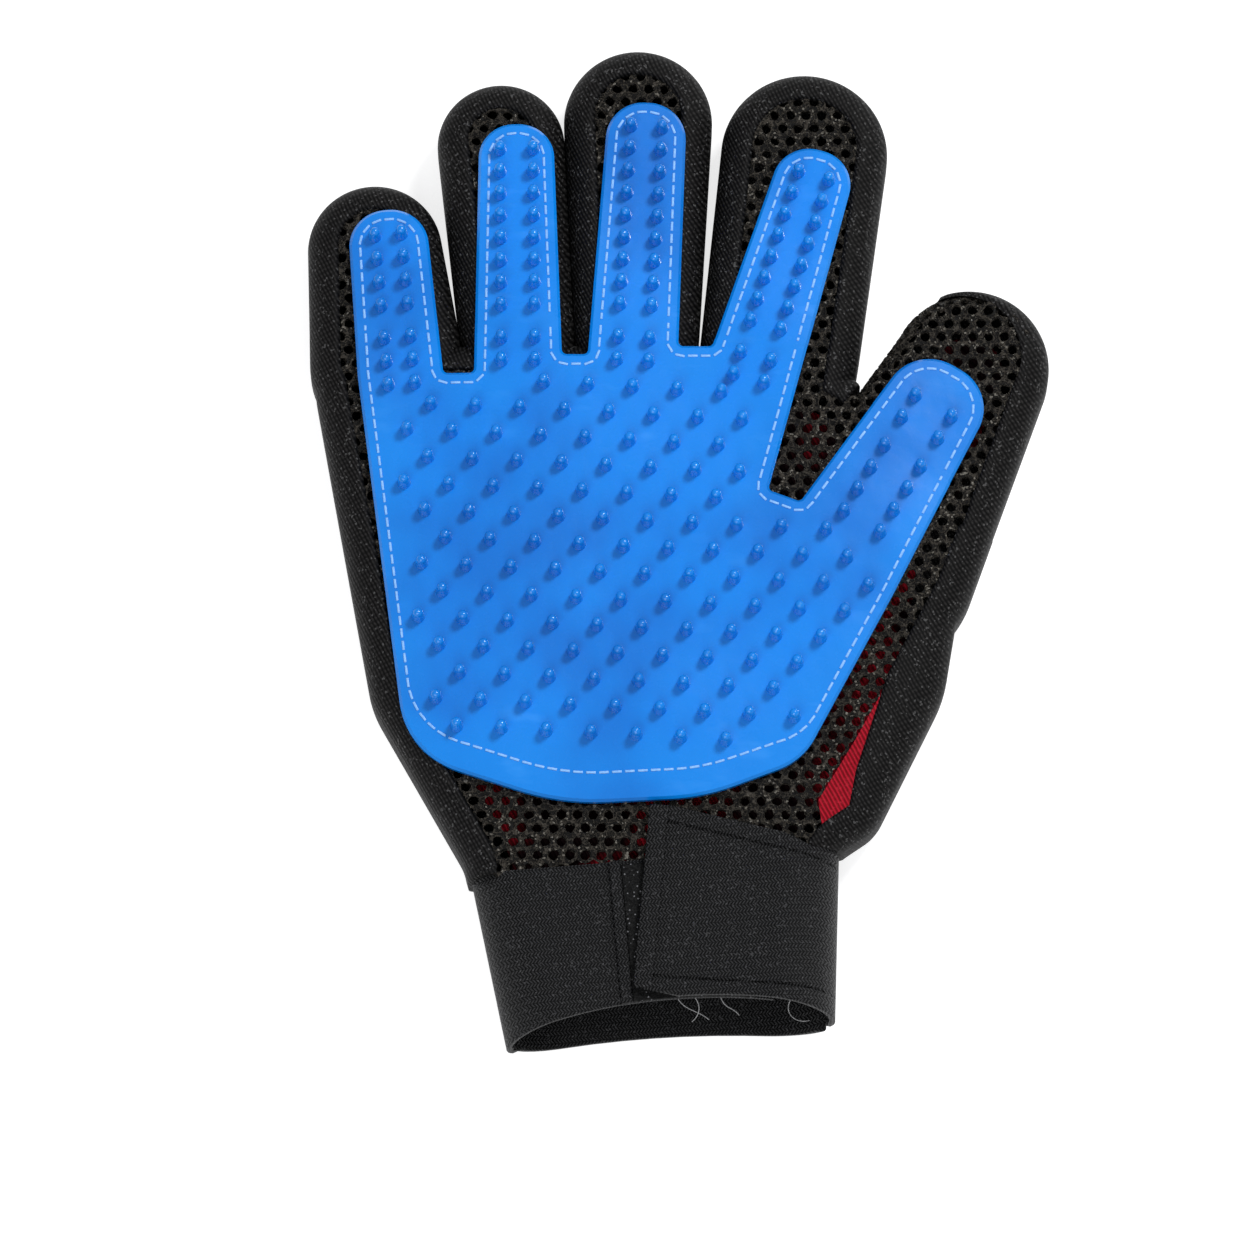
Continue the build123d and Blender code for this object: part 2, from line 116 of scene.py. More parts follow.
class Finish:
    """A material: its Principled shader and the nodes in front of it."""

    def __init__(self, name, **fixed):
        self.material = bpy.data.materials.new(name)
        self.material.use_nodes = True
        self.tree = self.material.node_tree
        self.shader = self.tree.nodes["Principled BSDF"]
        for socket, value in fixed.items():
            self.shader.inputs[socket.replace("_", " ")].default_value = value
        self.place = self.node("TexCoord", out="Object")

    def node(self, kind, settings=(), sockets=(), out=0):
        made = self.tree.nodes.new("ShaderNode" + kind)
        for key, value in dict(settings).items():
            if key == "stops":
                while len(made.color_ramp.elements) < len(value):
                    made.color_ramp.elements.new(0.5)
                for element, (at, tone) in zip(made.color_ramp.elements, value):
                    element.position, element.color = at, tone
            else:
                setattr(made, key, value)
        for key, value in dict(sockets).items():
            self.plug(made.inputs[key], value)
        return Signal(self, made.outputs[out])

    def plug(self, socket, value):
        if isinstance(value, Signal):
            self.tree.links.new(value.socket, socket)
        else:
            socket.default_value = value

    def set(self, name, value):
        self.plug(self.shader.inputs[name], value)

    def turned(self, x=0, y=0, z=0, scale=(1, 1, 1)):
        angles = (radians(x), radians(y), radians(z))
        return self.node("Mapping", sockets={"Vector": self.place, "Rotation": angles, "Scale": scale})

    def noise(self, size, detail=2, where=None):
        sockets = {"Vector": where or self.place, "Scale": 1 / size, "Detail": detail, "Roughness": 0.5}
        return self.node("TexNoise", sockets=sockets, out="Fac")

    def ramp(self, value, *stops):
        return self.node("ValToRGB", {"stops": [(at, (*tone, 1)) for at, tone in stops]}, {0: value})

    def step(self, value, low, high):
        return self.node("MapRange", {"interpolation_type": "SMOOTHSTEP"}, {0: value, 1: low, 2: high})

    def mix(self, share, first, second):
        return self.node("Mix", {"data_type": "RGBA"}, {0: share, 6: first, 7: second}, out=2)

    def bump(self, height, depth, strength=1.0):
        sockets = {"Height": height, "Distance": depth, "Strength": strength}
        normal = self.shader.inputs["Normal"]
        if normal.is_linked:
            sockets["Normal"] = Signal(self, normal.links[0].from_socket)
        self.set("Normal", self.node("Bump", sockets=sockets))


def blue_rubber():
    rubber = Finish("blue_rubber", Roughness=0.3, IOR=1.3, Coat_Roughness=0.14)
    cloud = rubber.noise(38 * MM, 3)
    smear = rubber.noise(16 * MM, 4, rubber.turned(z=35, scale=(1, 2.6, 1)))
    # Pale, duller patches are mixed into the colour at random where two noises overlap.
    pale_patch = rubber.step(smear, 0.56, 0.74) * rubber.step(cloud, 0.42, 0.66)
    deep, main = (0.0, 0.165, 0.63, 1), (0.0, 0.235, 0.80, 1)
    tone = rubber.mix(rubber.step(cloud, 0.30, 0.62), deep, main)
    rubber.set("Base Color", rubber.mix(pale_patch * 0.34, tone, (0.05, 0.34, 0.92, 1)))
    rubber.set("Roughness", 0.24 + 0.12 * pale_patch + 0.06 * rubber.noise(2.2 * MM, 2))
    rubber.set("Coat Weight", 0.8 - 0.4 * pale_patch)
    rubber.bump(rubber.noise(9 * MM, 2), 0.35 * MM, 0.5)
    rubber.bump(rubber.noise(0.6 * MM, 2), 0.02 * MM, 0.5)
    return rubber.material


def alone(piece):
    bpy.ops.object.select_all(action="DESELECT")
    piece.select_set(True)
    bpy.context.view_layer.objects.active = piece


def editing(piece):
    alone(piece)
    bpy.ops.object.mode_set(mode="EDIT")
    bpy.ops.mesh.select_all(action="SELECT")


def done_editing():
    bpy.ops.object.mode_set(mode="OBJECT")


KNUCKLE_LINES = {
    f: (Vector(j["pos_m"]), Vector((-j["axis"][1], j["axis"][0], 0))) for f, j in KNUCKLES.items()
}


def past_knuckle(point, finger):
    """How far a point is past a knuckle line, towards the fingertip."""
    at, along = KNUCKLE_LINES[finger]
    return (point - at).dot(along)


def workpiece(name, source):
    """A copy of a CAD node with its corners merged; a finger's cut face closes up to the palm."""
    piece = frame["nodes"][source].copy()
    piece.data = piece.data.copy()
    piece.name = piece.data.name = name
    piece.parent = None
    for mark in list(piece.keys()):
        del piece[mark]
    bpy.context.scene.collection.objects.link(piece)
    piece.data.materials.clear()
    editing(piece)
    bpy.ops.mesh.customdata_custom_splitnormals_clear()
    bpy.ops.mesh.remove_doubles(threshold=WELD)
    done_editing()
    finger = frame["nodes"][source]["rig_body"].split("_")[0]
    if finger in FINGERS:
        for vertex in piece.data.vertices:
            past = past_knuckle(vertex.co, finger)
            if past < PARTING:
                vertex.co -= past * KNUCKLE_LINES[finger][1]
    return piece


def open_ends(piece):
    """Takes off the faces on the knuckle lines, where a palm piece and a finger piece are one."""
    for face in piece.data.polygons:
        face.select = False
    for finger, (at, along) in KNUCKLE_LINES.items():
        on_line = {
            v.index for v in piece.data.vertices
            if abs((v.co - at).dot(along)) < 0.05 * MM and (v.co - at).xy.length < KNUCKLE_REACH
        }
        for face in piece.data.polygons:
            if on_line.issuperset(face.vertices):
                face.select = True
    alone(piece)
    bpy.context.tool_settings.mesh_select_mode = (False, False, True)
    bpy.ops.object.mode_set(mode="EDIT")
    bpy.ops.mesh.delete(type="FACE")
    bpy.ops.mesh.select_mode(type="VERT")
    done_editing()


def cut_across(piece, step, axes="XY"):
    """Cuts the piece along a square grid, so that it has the points to drape."""
    spans = {axis: [v.co["XYZ".index(axis)] for v in piece.data.vertices] for axis in axes}
    editing(piece)
    for axis, places in spans.items():
        normal = [float(axis == other) for other in "XYZ"]
        for number in range(math.ceil(min(places) / step), math.floor(max(places) / step) + 1):
            bpy.ops.mesh.select_all(action="SELECT")
            at = [number * step * share for share in normal]
            bpy.ops.mesh.bisect(plane_co=at, plane_no=normal)
    done_editing()


def modify(piece, kind, **settings):
    """Adds a modifier and applies it."""
    alone(piece)
    modifier = piece.modifiers.new(kind.lower(), kind)
    for key, value in settings.items():
        setattr(modifier, key, value)
    bpy.ops.object.modifier_apply(modifier=modifier.name)


limp_fall = bpy.data.textures.new("limp_fall", "CLOUDS")
limp_fall.noise_scale = 62 * MM
limp_fall.noise_depth = 1


def lift_group(piece, full_at):
    """Weights that are 0 where the piece rests on the floor and 1 from the given height."""
    group = piece.vertex_groups.new(name="lift")
    steps = {}
    for vertex in piece.data.vertices:
        share = min(1.0, max(0.0, vertex.co.z / full_at))
        steps.setdefault(round(share * 20), []).append(vertex.index)
    for step, members in steps.items():
        group.add(members, step / 20, "REPLACE")


def drape(piece):
    """The whole glove rises and falls in one soft wave, strongest at the palm side."""
    lift_group(piece, DRAPE_FULL)
    modify(
        piece, "DISPLACE", texture=limp_fall, texture_coords="GLOBAL", direction="Z",
        mid_level=0.5, strength=LIMP, vertex_group="lift",
    )
    piece.vertex_groups.clear()


def smooth(piece, angle=35):
    alone(piece)
    bpy.ops.object.shade_smooth_by_angle(angle=radians(angle))


def bend_with(piece):
    """Bakes the piece's placing into its mesh; the piece is not attached to the finger."""
    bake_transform(piece)


def fit(piece, body_or_finger, material, slot, *stands_for):
    """Gives a finished piece its material, attaches it to its body unless it belongs to a finger, and
    hides the nodes that it stands for.
    """
    piece.data.materials.clear()
    piece.data.materials.append(material)
    if body_or_finger in FINGERS:
        bend_with(piece)
    else:
        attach(piece, body_or_finger)
    if stands_for:
        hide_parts(*stands_for)


rubber = blue_rubber()
for owner in ["palm", *FINGERS]:
    node = "palm_pad" if owner == "palm" else owner + "_pad_strip"
    pad = workpiece("rubber_" + node, node)
    open_ends(pad)
    cut_across(pad, PAD_CUT)
    drape(pad)
    smooth(pad, 32)
    fit(pad, owner, rubber, "blue_rubber", node)


# ---- The air mesh ----
# A black polyester spacer mesh with round holes, knitted from thick twisted yarn, that
# forms the palm side under the pad. Its inner face is a closer knit.

HOLE_PITCH = 3.7 * MM
HOLE_R = 1.12 * MM
YARN_TOP = 0.28 * MM     # the yarn round a hole stands up by this much
MESH_DEPTH = 0.9 * MM
SHELL_TOP = 20 * MM
EDGE_R = 7 * MM
SUNK = 0.4 * MM          # the mesh lies this far below the top of the shell
TUCKED = 0.6 * MM        # it runs this far in under the borders
WRAP_REACH = 0.8 * MM    # and this far where it wraps over the thumb's side
WRAP_FOOT = 9.5 * MM     # it isn't seen below this height
THUMB_SIDE = 14 * MM     # it wraps over the hand's side up to this far before the knuckle
SHEET_CORNER = (-92 * MM, -76 * MM)
SHEET_SIZE = (190 * MM, 215 * MM)
THUMB_ROOT, THUMB_TIP = Vector((54.9 * MM, 16.4 * MM, 0)), Vector((73.6 * MM, 52.4 * MM, 0))
THUMB_R_ROOT, THUMB_R_TIP = 23.4 * MM, 18.0 * MM


def black_air_mesh():
    mesh = Finish("black_air_mesh", Roughness=0.5, IOR=1.22)
    coarse, fine = mesh.noise(1.7 * MM, 1), mesh.noise(0.8 * MM, 1)
    yarn = mesh.step(abs(coarse - 0.5), 0.07, 0.0) + 0.7 * mesh.step(abs(fine - 0.5), 0.08, 0.0)
    # Painted glints: a few bright specks in the colour stand for single fibres catching the light;
    # these specks are glossier too.
    cell = mesh.node("TexVoronoi", {}, {"Vector": mesh.place, "Scale": 1 / (0.45 * MM)}, out="Color")
    painted_glint = mesh.node("SeparateColor", {}, {0: cell}) > 0.955
    # Painted highlight and shade: the raised yarn strands are coloured lighter and the gaps between
    # them near black, as light would fall on them.
    tone = mesh.ramp(yarn, (0.1, (0.0008, 0.0007, 0.0006)), (0.9, (0.050, 0.044, 0.036)))
    mesh.set("Base Color", mesh.mix(painted_glint * 0.5, tone, (0.30, 0.28, 0.24, 1)))
    mesh.set("Roughness", 0.55 - 0.28 * painted_glint)
    mesh.bump(yarn, 0.22 * MM)
    return mesh.material


def surface_of(*names):
    """One searchable surface of some CAD nodes."""
    points, faces = [], []
    for name in names:
        mesh = frame["nodes"][name].data
        faces += [[i + len(points) for i in face.vertices] for face in mesh.polygons]
        points += [v.co.copy() for v in mesh.vertices]
    return BVHTree.FromPolygons(points, faces)


def hole_cell():
    """One round hole: its wall, its raised yarn rim, and the land out to the next holes."""
    bpy.ops.object.select_all(action="DESELECT")
    bpy.ops.mesh.primitive_circle_add(vertices=12, radius=HOLE_R, location=(0, 0, 0))
    cell = bpy.context.object
    bpy.ops.object.mode_set(mode="EDIT")
    bpy.ops.mesh.select_all(action="SELECT")
    bpy.ops.transform.translate(value=(0, 0, -MESH_DEPTH))
    for grow, rise in ((1.0, MESH_DEPTH), (1.22, YARN_TOP), (1.28, -YARN_TOP), (1.15, 0)):
        bpy.ops.mesh.extrude_edges_move(TRANSFORM_OT_translate={"value": (0, 0, rise)})
        bpy.ops.transform.resize(value=(grow, grow, 1), center_override=(0, 0, 0))
    bpy.ops.mesh.select_all(action="SELECT")
    bpy.ops.mesh.normals_make_consistent(inside=False)
    done_editing()
    outer = max(v.co.xy.length for v in cell.data.vertices) - 0.01 * MM
    for vertex in cell.data.vertices:
        if vertex.co.xy.length > outer:
            angle = math.atan2(vertex.co.y, vertex.co.x)
            corner = round(angle / radians(30)) % 2 == 1
            reach = HOLE_PITCH / math.sqrt(3) if corner else HOLE_PITCH / 2
            vertex.co.x, vertex.co.y = reach * cos(angle), reach * sin(angle)
    if cell.data.polygons[-1].normal.z < 0:
        cell.data.flip_normals()
    return cell


def over_thumb(x, y, height):
    """Where a point of the flat sheet lies once the sheet is wrapped over the thumb's side."""
    line = THUMB_TIP - THUMB_ROOT
    point = Vector((x, y, 0))
    share = min(1.0, max(0.0, (point - THUMB_ROOT).dot(line) / line.length_squared))
    centre = THUMB_ROOT + share * line
    flat = THUMB_R_ROOT + share * (THUMB_R_TIP - THUMB_R_ROOT) - EDGE_R
    away = point - centre
    turn = max(0.0, min((away.length - flat) / EDGE_R, pi / 2))
    beyond = max(0.0, away.length - flat - EDGE_R * pi / 2)
    radius = EDGE_R + height
    reach = min(away.length, flat) + radius * sin(turn)
    rise = SHELL_TOP - EDGE_R + radius * cos(turn) - beyond
    return centre + away.normalized() * reach + Vector((0, 0, rise))


def nearest_panel(place):
    """The mesh panel that is nearest to a place, and how far off it is."""
    return min((surface.find_nearest(place)[3], owner) for owner, surface in panel_surfaces.items())


def laid(x, y, height, way):
    """A point of the flat sheet as it lies on the glove."""
    if way == "wrapped":
        return over_thumb(x, y, height)
    top = Vector((x, y, SHELL_TOP + height))
    if way == "dropped":
        hit = panel_surfaces["palm"].ray_cast(top + Vector((0, 0, 9 * MM)), Vector((0, 0, -1)))[0]
        return (hit or over_thumb(x, y, 0)) + Vector((0, 0, height))
    return top


def settle(x, y):
    """The way in which the hole at x, y lies on the glove, and the body it belongs to."""
    up = Vector((0, 0, 1))
    top = Vector((x, y, SHELL_TOP))
    distance, owner = nearest_panel(top)
    if distance < TUCKED:
        return "flat", owner
    over = over_thumb(x, y, 0)
    distance, owner = nearest_panel(over)
    on_side = distance < WRAP_REACH and over.z > WRAP_FOOT
    if on_side and past_knuckle(top, "thumb") > -THUMB_SIDE:
        return "wrapped", owner
    if panel_surfaces["palm"].ray_cast(top + 9 * MM * up, -up)[0]:
        return "dropped", "palm"
    return None, None


panel_surfaces = {owner: surface_of(owner + "_mesh_panel") for owner in ["palm", *FINGERS]}

lattice = hole_cell()
lattice.name = "air_mesh"
per_cell = len(lattice.data.vertices)
row_step = HOLE_PITCH * sin(radians(60))
columns, rows = int(SHEET_SIZE[0] / HOLE_PITCH), int(SHEET_SIZE[1] / row_step)
for count, step in ((columns, (HOLE_PITCH, 0, 0)), (rows, (0, row_step, 0))):
    modify(
        lattice, "ARRAY", count=count, use_relative_offset=False, use_constant_offset=True,
        constant_offset_displace=step,
    )
settled = []
for number in range(columns * rows):
    row, column = divmod(number, columns)
    x = SHEET_CORNER[0] + HOLE_PITCH * (column + 0.5 * (row % 2))
    settled.append(settle(x, SHEET_CORNER[1] + row_step * row))
for vertex in lattice.data.vertices:
    number = vertex.index // per_cell
    way, owner = settled[number]
    if owner:
        shift = 0.5 * HOLE_PITCH * (number // columns % 2)
        x, y = vertex.co.x + SHEET_CORNER[0] + shift, vertex.co.y + SHEET_CORNER[1]
        vertex.co = laid(x, y, vertex.co.z - SUNK, way)

yarn_twist = bpy.data.textures.new("yarn_twist", "CLOUDS")
yarn_twist.noise_scale = 1.7 * MM
air_mesh_black = black_air_mesh()
for owner in ["palm", *FINGERS]:
    sheet = lattice.copy()
    sheet.data = lattice.data.copy()
    sheet.name = sheet.data.name = owner + "_air_mesh"
    bpy.context.scene.collection.objects.link(sheet)
    for vertex in sheet.data.vertices:
        vertex.select = settled[vertex.index // per_cell][1] != owner
    for item in [*sheet.data.edges, *sheet.data.polygons]:
        item.select = all(sheet.data.vertices[i].select for i in item.vertices)
    alone(sheet)
    bpy.ops.object.mode_set(mode="EDIT")
    bpy.ops.mesh.delete(type="VERT")
    bpy.ops.mesh.select_all(action="SELECT")
    bpy.ops.mesh.remove_doubles(threshold=0.03 * MM)
    done_editing()
    for direction in "XYZ":
        modify(
            sheet, "DISPLACE", texture=yarn_twist, texture_coords="GLOBAL", direction=direction,
            mid_level=0.5, strength=(0.9 if direction != "Z" else 0.7) * MM,
        )
    drape(sheet)
    alone(sheet)
    bpy.ops.object.shade_smooth()
    fit(sheet, owner, air_mesh_black, "black_air_mesh", owner + "_mesh_panel")
    holes = sum(1 for way, body in settled if body == owner)
    owner + "_mesh_panel"
bpy.data.objects.remove(lattice)


# ---- The knitted borders and the back ----
# Soft black rib knit over a thin foam. It forms the back and comes round the sides as a
# full roll that is sewn down to the edge of the mesh, so a narrow valley runs along it.

FABRIC_CUT = 6 * MM
ROLL = 1.5 * MM          # roundness of the edge that is sewn down to the mesh
ROLL_FOOT = 18.8 * MM    # only edges above this height are sewn down
PUFF = 0.9 * MM          # the foam fills the border out by this much
PUFF_FULL = 6 * MM       # in full from this height, and less where it rests on the table
CUFF_SEAM = Vector((0.1 * MM, -67.2 * MM, 0))
CUFF_TURN = 5            # degrees that the cuff is turned against the palm


def black_knit():
    knit = Finish("black_knit", Roughness=0.6, IOR=1.2)
    rib = {"wave_type": "BANDS", "bands_direction": "X"}
    lengthwise = {"Vector": knit.turned(y=18, z=-28), "Scale": 1 / (2.6 * MM), "Distortion": 1.4}
    crosswise = {"Vector": knit.turned(y=-14, z=64), "Scale": 1 / (3.6 * MM), "Distortion": 1.4}
    ribs, rows = knit.node("TexWave", rib, lengthwise), knit.node("TexWave", rib, crosswise)
    loops = ribs * (0.4 + 0.6 * rows) * (0.35 + 1.1 * knit.noise(0.8 * MM, 2))
    # Painted glints: a few bright specks in the colour stand for single fibres catching the light.
    cell = knit.node("TexVoronoi", {}, {"Vector": knit.place, "Scale": 1 / (0.4 * MM)}, out="Color")
    painted_glint = knit.node("SeparateColor", {}, {0: cell}) > 0.955
    tone = knit.ramp(loops, (0.1, (0.0010, 0.0010, 0.0010)), (0.8, (0.021, 0.020, 0.0195)))
    knit.set("Base Color", knit.mix(painted_glint * 0.3, tone, (0.20, 0.20, 0.20, 1)))
    knit.bump(knit.noise(7 * MM, 2), 0.9 * MM, 0.6)
    knit.bump(loops, 0.16 * MM)
    return knit.material


def near_a_cut(point):
    """Whether a point lies on a knuckle line or on the cuff's seam, where pieces meet flush."""
    if (Matrix.Rotation(radians(-CUFF_TURN), 3, "Z") @ (point - CUFF_SEAM)).y < 1.5 * MM:
        return True
    return any(
        abs(past_knuckle(point, f)) < 0.5 * MM
        and (point - Vector(KNUCKLES[f]["pos_m"])).xy.length < 30 * MM for f in FINGERS
    )


def roll_over(piece, size):
    """Rounds the upper inner edge of a border, where it is sewn down to the mesh."""
    editing(piece)
    bpy.ops.mesh.dissolve_limited(angle_limit=radians(1))
    bpy.ops.mesh.select_all(action="DESELECT")
    bpy.ops.mesh.select_mode(type="EDGE")
    bpy.ops.mesh.edges_select_sharp(sharpness=radians(50))
    done_editing()
    for edge in piece.data.edges:
        ends = [piece.data.vertices[i].co for i in edge.vertices]
        middle = (ends[0] + ends[1]) / 2
        if middle.z < ROLL_FOOT or (near_a_cut(ends[0]) and near_a_cut(ends[1])):
            edge.select = False
    for face in piece.data.polygons:
        face.select = False
    for vertex in piece.data.vertices:
        vertex.select = False
    bpy.ops.object.mode_set(mode="EDIT")
    bpy.ops.mesh.bevel(offset=size, segments=4, clamp_overlap=True)
    bpy.ops.mesh.select_mode(type="VERT")
    bpy.ops.mesh.select_all(action="SELECT")
    bpy.ops.mesh.quads_convert_to_tris()
    bpy.ops.mesh.remove_doubles(threshold=WELD)
    done_editing()


knit_black = black_knit()
borders = {
    "little_side_border": "palm", "thumb_side_border": "palm", "finger_crotch_borders": "palm",
    **{f + "_border": f for f in FINGERS},
}
for node, owner in borders.items():
    border = workpiece("knit_" + node, node)
    roll_over(border, ROLL)
    open_ends(border)
    cut_across(border, FABRIC_CUT)
    lift_group(border, PUFF_FULL)
    modify(border, "DISPLACE", direction="NORMAL", mid_level=0, strength=PUFF, vertex_group="lift")
    border.vertex_groups.clear()
    drape(border)
    smooth(border, 60)
    fit(border, owner, knit_black, "black_knit", node)
for owner in ["palm", *FINGERS]:
    node = "hand_back_panel" if owner == "palm" else owner + "_back_panel"
    back = workpiece("knit_" + node, node)
    cut_across(back, 2 * FABRIC_CUT)
    drape(back)
    smooth(back, 60)
    fit(back, owner, knit_black, "black_knit", node)


# ---- The red pieces ----
# Thin red stretch knit: a lining that lies loose inside the glove, seen as a glimmer
# through the holes of the mesh, and a wedge let in at the base of the thumb.

LINING_RISE = 10 * MM    # the loose lining stands up this far off the back


def red_knit(name):
    knit = Finish(name, Roughness=0.7, IOR=1.2)
    ribs = knit.node(
        "TexWave", {"wave_type": "BANDS", "bands_direction": "X"},
        {"Vector": knit.turned(z=-28), "Scale": 1 / (2.9 * MM), "Distortion": 1.0, "Detail": 1.0},
    )
    loops = knit.noise(0.8 * MM, 2)
    tone = knit.ramp(ribs, (0.1, (0.16, 0.002, 0.006)), (0.8, (0.42, 0.008, 0.022)))
    red = knit.mix(knit.step(loops, 0.5, 0.75) * 0.35, tone, (0.60, 0.03, 0.05, 1))
    if name == "red_lining_painted_shade":  # painted shade: dark patches at random stand for folds of the lining that fall away from the mesh into shadow
        red = knit.mix(knit.step(knit.noise(17 * MM, 1), 0.66, 0.46), red, (0.006, 0.0, 0.001, 1))
    knit.set("Base Color", red)
    knit.bump(ribs, 0.25 * MM)
    knit.bump(loops, 0.1 * MM, 0.6)
    return knit.material


# The lining's material is the red knit again with painted shade mixed in, a shaded copy of it.
red, shaded_red_lining = red_knit("red_knit"), red_knit("red_lining_painted_shade")
for node, owner in (("palm_lining", "palm"), ("thumb_lining", "thumb")):
    lining = workpiece("red_" + node, node)
    for vertex in lining.data.vertices:
        vertex.co.z += LINING_RISE
    fit(lining, owner, shaded_red_lining, "red_knit", node)
gusset = workpiece("red_thumb_gusset", "thumb_gusset")
cut_across(gusset, FABRIC_CUT)
drape(gusset)
smooth(gusset)
fit(gusset, "palm", red, "red_knit", "thumb_gusset")


# ---- The thread round the pad ----
# One seam of lighter blue polyester thread, whose stitches lie in a row just inside the
# pad's rim and sink a little into the rubber.

thread = Finish("blue_thread", Roughness=0.45, IOR=1.5)
pale, bright = (0.34, 0.62, 0.97, 1), (0.10, 0.34, 0.86, 1)
thread.set("Base Color", thread.mix(thread.noise(0.5 * MM, 2), bright, pale))
thread.bump(thread.noise(0.25 * MM, 2), 0.05 * MM)
for owner in ["palm", *FINGERS]:
    node = owner + "_pad_stitching"
    seam = workpiece("thread_" + node, node)
    editing(seam)
    bpy.ops.mesh.dissolve_limited(angle_limit=radians(1))
    bpy.ops.mesh.select_all(action="SELECT")
    bpy.ops.mesh.bevel(offset=0.14 * MM, segments=2, clamp_overlap=True)
    bpy.ops.mesh.select_all(action="SELECT")
    bpy.ops.transform.translate(value=(0, 0, -0.08 * MM))
    done_editing()
    drape(seam)
    smooth(seam, 50)
    fit(seam, owner, thread.material, "blue_thread", node)


# ---- The wrist cuff and its closure ----
# Wide black woven elastic, sewn to the palm and the back as a flat tube. The tab is the
# same elastic, folded under at its free end, and its hook side closes on the loop patch.

CUFF_CUT = 7 * MM
CUFF_LENGTH = 42         # from here to FOLD_FILL in mm
CUFF_HALF = 38
FOLD_START = 18
FOLD_FILL = 4.6          # the back's thumb end reaches out by this much at the free edge
SEWN = 0.45 * MM         # half the width of a line of stitching
SEWN_SINK = 0.5 * MM
ELASTIC_EDGE = 0.35 * MM
ARCH_MIDDLE, ARCH_SIDE = 0.0675, 0.055  # shares of the length that the free edge is drawn up


def black_elastic():
    web = Finish("black_elastic", Roughness=0.5, IOR=1.2)
    across = web.node("SeparateXYZ", {}, {0: web.turned(z=-5)})
    along = Signal(web, across.socket.node.outputs[1])
    zigzag = across.maths("PINGPONG", along * (1 / (0.95 * MM)), 1)
    twill = across.maths("SINE", (across * (1 / (0.8 * MM)) + zigzag * 0.9) * (2 * pi), 0)
    row = web.step(abs(zigzag - 0.5), 0.5, 0.3)
    weave = (0.35 + 0.65 * row) * (0.5 + 0.5 * twill) * (0.35 + 1.3 * web.noise(1.2 * MM, 2))
    # Painted glints: a few bright specks in the colour stand for single fibres catching the light.
    cell = web.node("TexVoronoi", {}, {"Vector": web.place, "Scale": 1 / (0.36 * MM)}, out="Color")
    painted_glint = web.node("SeparateColor", {}, {0: cell}) > 0.965
    tone = web.ramp(weave, (0.1, (0.0009, 0.0009, 0.0010)), (0.9, (0.036, 0.036, 0.037)))
    web.set("Base Color", web.mix(painted_glint * 0.16, tone, (0.26, 0.26, 0.27, 1)))
    web.bump(web.noise(9 * MM, 2), 0.6 * MM, 0.5)
    web.bump(weave, 0.22 * MM)
    return web.material


def fastener_tape():
    tape = Finish("black_fastener_tape", Roughness=0.6, IOR=1.2)
    loops = tape.noise(0.5 * MM, 2)
    # Painted glints: bright specks in the colour stand for the tops of the nylon loops catching the
    # light.
    cell = tape.node("TexVoronoi", {}, {"Vector": tape.place, "Scale": 1 / (1.15 * MM)}, out="Distance")
    painted_glint = tape.step(cell, 0.22, 0.12)
    tone = tape.ramp(loops, (0.4, (0.0015, 0.0015, 0.0015)), (0.7, (0.012, 0.012, 0.012)))
    tape.set("Base Color", tape.mix(painted_glint * 0.4, tone, (0.4, 0.4, 0.42, 1)))
    tape.bump(loops, 0.3 * MM)
    return tape.material


def in_cuff(x, y):
    """A place on the cuff, measured from the middle of its seam, in the glove's own axes."""
    return CUFF_SEAM + Matrix.Rotation(radians(CUFF_TURN), 3, "Z") @ Vector((x * MM, y * MM, 0))


def sewn_line(piece, start, end):
    """A line of machine stitching: the fabric is pulled down into a narrow groove."""
    start, end = in_cuff(*start), in_cuff(*end)
    across = (end - start).cross(Vector((0, 0, 1))).normalized()
    editing(piece)
    for shift in (-SEWN, 0, SEWN):
        bpy.ops.mesh.select_all(action="SELECT")
        bpy.ops.mesh.bisect(plane_co=start + shift * across, plane_no=across)
    done_editing()
    for vertex in piece.data.vertices:
        if abs((vertex.co - start).dot(across)) < 0.02 * MM and vertex.co.z > 15 * MM:
            vertex.co.z -= SEWN_SINK


def slacken(band):
    """The back's free edge is drawn up in an arch, and its thumb end fills out the fold."""
    right, up = in_cuff(1, 0) - in_cuff(0, 0), in_cuff(0, 1) - in_cuff(0, 0)
    for vertex in band.data.vertices:
        out = (vertex.co - in_cuff(0, 0)).dot(right) / MM / MM
        down = max(0.0, (in_cuff(0, 0) - vertex.co).dot(up) / MM / MM)
        share = min(1.0, max(0.0, (out - FOLD_START) / (CUFF_HALF - FOLD_START)))
        vertex.co += FOLD_FILL * share * share * down / CUFF_LENGTH * right
        arch = ARCH_MIDDLE * max(0.0, 1 - (out / CUFF_HALF) ** 2)
        side = ARCH_SIDE * (0.5 - out / (2 * CUFF_HALF))
        vertex.co += (arch + side) * down * up


